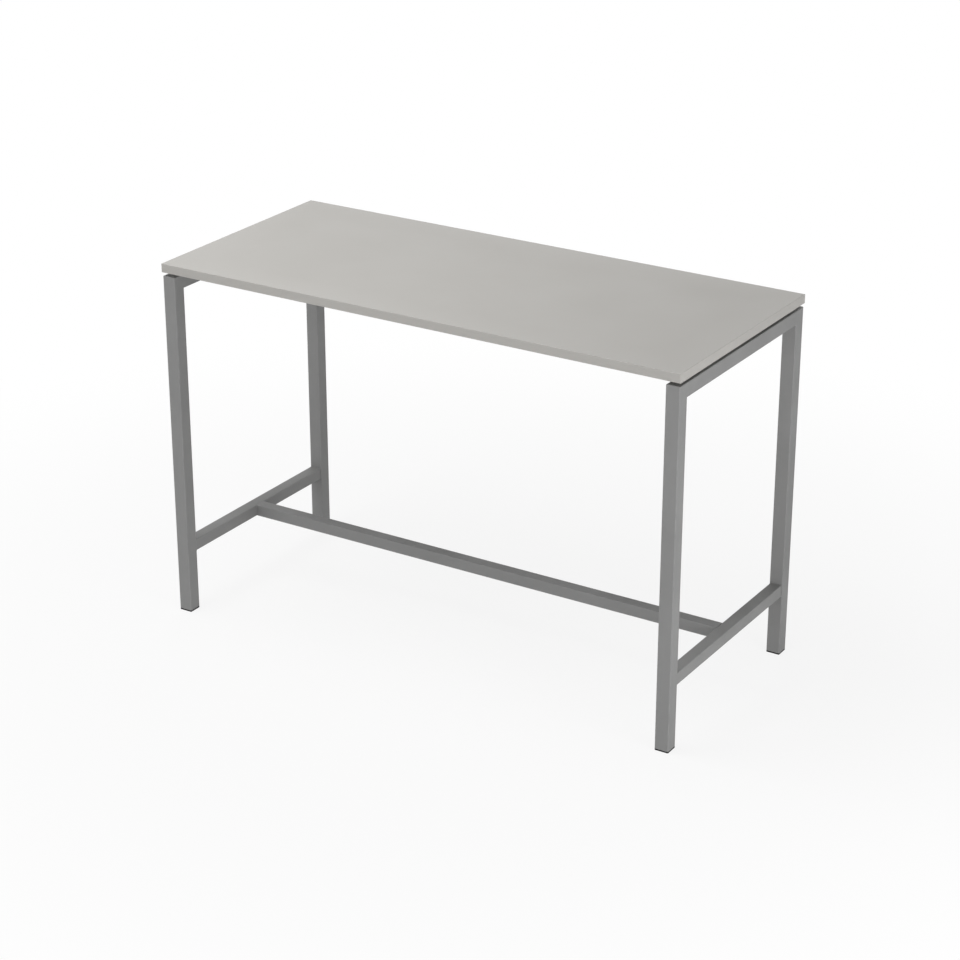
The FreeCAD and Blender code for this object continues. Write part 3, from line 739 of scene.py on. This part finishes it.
capSizes = dict(
    corner=0.0012,
    cornerSteps=6,
    plugPlay=0.0004,
    plugWall=0.002,
    plugFloor=0.003,
    fins=3,
    finPitch=0.007,
    finThickness=0.0012,
    finPlay=0.00005,
    finSlope=0.0003,
    recess=0.033,
    recessDepth=0.0032,
    passage=0.009,
    boss=0.018,
    bossHeight=0.022,
    nutFlats=0.0132,
    nutHeight=0.0065,
    ribThickness=0.0016,
    ribHeight=0.017,
    ribSink=0.0002,
    ribCornerSteps=3,
    brokenEdge=0.0004,
    edgeSteps=4,
)


def squareRing(half, z, corner=capSizes["corner"], rubbed=0.0):
    # a rounded square at one height, with its corner mask times rubbed
    outline, mask = roundedOutline(2 * half, 2 * half, corner, capSizes["cornerSteps"])
    return np.column_stack([outline, np.full(len(outline), z)]), mask * rubbed


def hexagonRing(flats, z):
    # as many points as squareRing has
    angle = turnPoints(4 * capSizes["cornerSteps"])
    return turnedRings(angle, [(hexagonRadius(angle, flats), z)])[0], np.zeros(len(angle))


def capRings(half, low, flangeTop, high):
    # The moulded leg end as rings on one upright axis. They go down the outside, over the fins and the
    # flange, and up the inside, through the recess for the pad, the stem's passage, the nut's pocket, the
    # boss and the plug.
    size, tube, broken = capSizes, tubeSizes, capSizes["brokenEdge"]
    plug = half - tube["wall"] - size["plugPlay"]
    fin = half - tube["wall"] - size["finPlay"]
    bossTop = flangeTop + size["bossHeight"]
    pocket = bossTop - size["nutHeight"]
    floor = flangeTop + size["plugFloor"]
    recess, ceiling = size["recess"] / 2, low + size["recessDepth"]
    rings = [squareRing(plug, high)]
    for number in reversed(range(size["fins"])):  # the lowest is half a pitch above the flange
        foot = flangeTop + (number + 0.5) * size["finPitch"]
        top = foot + size["finThickness"]
        rings += [squareRing(plug, top), squareRing(fin, top - size["finSlope"]),
                  squareRing(fin, foot + size["finSlope"]), squareRing(plug, foot)]
    rings += [squareRing(plug, flangeTop), squareRing(half, flangeTop, tube["corner"], rubbed=1.0)]
    for turn in np.linspace(0, math.pi / 2, size["edgeSteps"]):  # the flange's lower edge
        drawnIn, z = broken * (1 - math.cos(turn)), low + broken * (1 - math.sin(turn))
        rings.append(squareRing(half - drawnIn, z, tube["corner"] - drawnIn, rubbed=1.0))
    rings += [squareRing(recess + broken, low), squareRing(recess, low + broken),
              squareRing(recess, ceiling), squareRing(size["passage"] / 2, ceiling),
              squareRing(size["passage"] / 2, pocket), hexagonRing(size["nutFlats"], pocket),
              hexagonRing(size["nutFlats"], bossTop), squareRing(size["boss"] / 2, bossTop),
              squareRing(size["boss"] / 2, floor), squareRing(plug - size["plugWall"], floor),
              squareRing(plug - size["plugWall"], high)]
    return np.array([points for points, mask in rings]), np.array([mask for points, mask in rings])


def ribRings(half, flangeTop):
    # Four upright plates between the boss and the plug's wall, each let into both. A plate is its
    # outline, moved out from the axis and turned by its quarter, at two heights.
    size = capSizes
    start = size["boss"] / 2 - size["ribSink"]
    end = half - tubeSizes["wall"] - size["plugPlay"] - size["plugWall"] + size["ribSink"]
    outline = roundedOutline(end - start, size["ribThickness"], size["ribSink"], size["ribCornerSteps"])[0]
    out, wide = outline[:, 0] + (start + end) / 2, outline[:, 1]
    heights = (flangeTop + size["plugFloor"] - size["ribSink"], flangeTop + size["ribHeight"])
    ribs = []
    for cosine, sine in ((1, 0), (0, 1), (-1, 0), (0, -1)):
        x, y = out * cosine - wide * sine, out * sine + wide * cosine
        ribs.append(np.array([np.column_stack([x, y, np.full(len(x), z)]) for z in heights]))
    return ribs


padSizes = dict(
    chamfer=0.0006,
    bow=0.00018,  # how near the chamfer's middle comes to the pad's full outline
    cornerCut=1.12,  # radius at the cut corners, over half the flats
    turnPoints=72,
)


def padRings(flats, thickness, socket, socketFloor):
    # A low hexagon with cut corners. Its radius is the hexagon's or the cut's, whichever is smaller, less
    # what the broken edge takes at that height. A round socket in its top takes the stem.
    chamfer, bow = padSizes["chamfer"], padSizes["bow"]
    angle = turnPoints(padSizes["turnPoints"])
    hexagon = np.minimum(hexagonRadius(angle, flats), flats / 2 * padSizes["cornerCut"])
    rows = [(hexagon - chamfer, 0), (hexagon - bow, bow), (hexagon, chamfer),
            (hexagon, thickness - chamfer), (hexagon - bow, thickness - bow),
            (hexagon - chamfer, thickness), (socket, thickness), (socket, socketFloor)]
    rubbed = np.array([0, 1, 0, 0, 1, 0, 0, 0.0])  # on both broken edges
    return turnedRings(angle, rows), rubbed[:, None]


stemSizes = dict(
    crest=0.0040,
    root=0.00345,
    pitch=0.00125,
    steepness=1.35,  # of the flanks, against a thread with neither flat crest nor flat root
    rootFlat=0.15,
    plainFoot=0.0024,
    tip=0.0030,
    tipSlope=1.2,
    turnPoints=36,
    ringsPerPitch=8,
)


def stemRings(low, high):
    # Screw thread: the radius climbs from root to crest and back once a pitch, and its phase is height
    # over pitch less the turn round the axis. The foot in the pad is plain, and a cone cuts the tip.
    size = stemSizes
    angle = turnPoints(size["turnPoints"])
    height = np.linspace(low, high, int((high - low) / size["pitch"] * size["ringsPerPitch"]) + 1)[:, None]
    phase = (height / size["pitch"] - angle / (2 * math.pi)) % 1
    climb = np.clip((1 - np.abs(2 * phase - 1)) * size["steepness"] - size["rootFlat"], 0, 1)
    radius = size["root"] + (size["crest"] - size["root"]) * climb
    radius = np.where(height < low + size["plainFoot"], size["crest"], radius)
    radius = np.minimum(radius, size["tip"] + (high - height) * size["tipSlope"])
    level = np.broadcast_to(height, radius.shape)
    return np.stack([radius * np.cos(angle), radius * np.sin(angle), level], axis=2), climb


def makeFoot(corner):
    # the leg end stays with the table, and the pad and its stem move with the foot
    cap, pad, stem = f"foot_insert_{corner}", f"levelling_pad_{corner}", f"levelling_stem_{corner}"
    (capLow, capHigh), (padLow, padHigh), (stemLow, stemHigh) = boxOf(cap), boxOf(pad), boxOf(stem)
    flangeTop = boxOf(f"leg_{corner}")[0][2]
    half = (capHigh - capLow)[0] / 2
    axis = (capLow + capHigh) / 2 * (1, 1, 0)
    body = f"levelling_foot_{corner}"
    rings, mask = capRings(half, capLow[2], flangeTop, capHigh[2])
    shells = [joinRings(rings + axis, closedTube=True, rubbed=mask)]
    shells += [joinRings(rib + axis) for rib in ribRings(half, flangeTop)]
    makePiece(f"foot_cap_{corner}", shells, nylon, [cap])
    rings, mask = padRings((padHigh - padLow)[1], padHigh[2], stemSizes["crest"], stemLow[2])
    shell = joinRings(rings + axis, rubbed=mask)
    makePiece(f"foot_pad_{corner}", [shell], nylon, [pad], body)
    rings, mask = stemRings(stemLow[2], stemHigh[2])
    shell = joinRings(rings + axis, rubbed=mask)
    makePiece(f"foot_stem_{corner}", [shell], zinc, [stem], body)


for corner in corners:
    makeFoot(corner)
print("feet made")

solidFinishes = {"tabletop_board": melamine, "footrest_spigot": powderCoat, "foot_nut": zinc}


def finishSolids():
    # the solids that stay, by how their names start
    for name, solid in frame["nodes"].items():
        for start, material in solidFinishes.items():
            if name.startswith(start):
                solid.data.materials.clear()
                solid.data.materials.append(material)


finishSolids()
print("solids finished")

studio = dict(
    worldStrength=0.33,
    floorColour=(0.85, 0.85, 0.85, 1),
    floorHalf=40.0,
    whiteNear=0.86,  # how much of the floor's white shows at the table, and from 0 to 1 further out
    whiteFrom=0.9,
    whiteTo=2.6,
    lamps=[
        dict(name="overhead", place=(-1.1, -0.8, 3.6), aim=(0, 0, 1.05), size=2.0, power=62),
        dict(name="frontWall", place=(-1.3, -5.5, 0.9), aim=(0, 0, 0.6), size=2.5, power=75),
        dict(name="rightWall", place=(3.2, -1.1, 0.7), aim=(0.8, -0.9, 1.1), size=1.5, power=43),
        dict(name="backWall", place=(-2.6, 3.6, 0.9), aim=(0, 0, 0.5), size=2.0, power=36, mirrored=False),
    ],
)


def seenDirectly(tree):
    # 1 for the camera, reflections and transparent surfaces, 0 for light that falls on the object
    path = addNode(tree, "ShaderNodeLightPath").outputs
    either = calculate(tree, "MAXIMUM", path["Is Camera Ray"], path["Is Glossy Ray"])
    return calculate(tree, "MAXIMUM", either, path["Is Transmission Ray"])


def makeWorld():
    # white to look at, and dimmer for the light that it gives
    world = bpy.data.worlds.new("studio")
    bpy.context.scene.world = world
    world.use_nodes = True
    tree = world.node_tree
    background = tree.nodes["Background"]
    background.inputs["Color"].default_value = (1, 1, 1, 1)
    strength = spread(tree, seenDirectly(tree), studio["worldStrength"], 1.0)
    tree.links.new(strength, background.inputs["Strength"])


def makeFloor():
    # matt near the table, where its shadow falls, and white further out
    half = studio["floorHalf"]
    mesh = bpy.data.meshes.new("floor")
    outline = [(-half, -half, 0), (half, -half, 0), (half, half, 0), (-half, half, 0)]
    mesh.from_pydata(outline, [], [(0, 1, 2, 3)])
    material = bpy.data.materials.new("paleFloor")
    material.use_nodes = True
    tree = material.node_tree
    tree.nodes.remove(tree.nodes["Principled BSDF"])
    matt = addNode(tree, "ShaderNodeBsdfDiffuse", {"Color": studio["floorColour"]})
    white = addNode(tree, "ShaderNodeEmission", {"Color": (1, 1, 1, 1), "Strength": 1.0})
    distance = addNode(tree, "ShaderNodeVectorMath", {0: objectPlace(tree)}, operation="LENGTH")
    fade = {"Value": distance.outputs["Value"], "To Min": studio["whiteNear"], "To Max": 1.0,
            "From Min": studio["whiteFrom"], "From Max": studio["whiteTo"]}
    whiteness = addNode(tree, "ShaderNodeMapRange", fade, interpolation_type="SMOOTHSTEP").outputs["Result"]
    share = calculate(tree, "MULTIPLY", whiteness, seenDirectly(tree))
    mix = addNode(tree, "ShaderNodeMixShader", {0: share, 1: matt.outputs[0], 2: white.outputs[0]})
    tree.links.new(mix.outputs[0], tree.nodes["Material Output"].inputs["Surface"])
    mesh.materials.append(material)
    floor = bpy.data.objects.new("floor", mesh)
    bpy.context.scene.collection.objects.link(floor)
    for corner in corners:  # the floor sinks with a foot that is screwed out, so the foot stands on it
        foot = frame["bodies"][f"levelling_foot_{corner}"]
        limit = floor.constraints.new("FLOOR")
        limit.target = foot
        limit.floor_location = "FLOOR_NEGATIVE_Z"
        limit.offset = -foot.matrix_world.translation.z


def makeLamp(lamp):
    # A square lamp that faces its aim. Its tilt is the angle between straight down and the way to the
    # aim, and its turn is the direction of that way as seen from above.
    data = bpy.data.lights.new(lamp["name"], "AREA")
    data.shape = "SQUARE"
    data.size = lamp["size"]
    data.energy = lamp["power"]
    light = bpy.data.objects.new(lamp["name"], data)
    light.location = lamp["place"]
    x, y, z = np.subtract(lamp["aim"], lamp["place"])
    light.rotation_euler = (math.atan2(math.hypot(x, y), -z), 0, math.atan2(-x, y))
    light.visible_camera = False
    light.visible_glossy = lamp.get("mirrored", True)
    bpy.context.scene.collection.objects.link(light)


makeWorld()
makeFloor()
for lamp in studio["lamps"]:
    makeLamp(lamp)
print("studio lit")
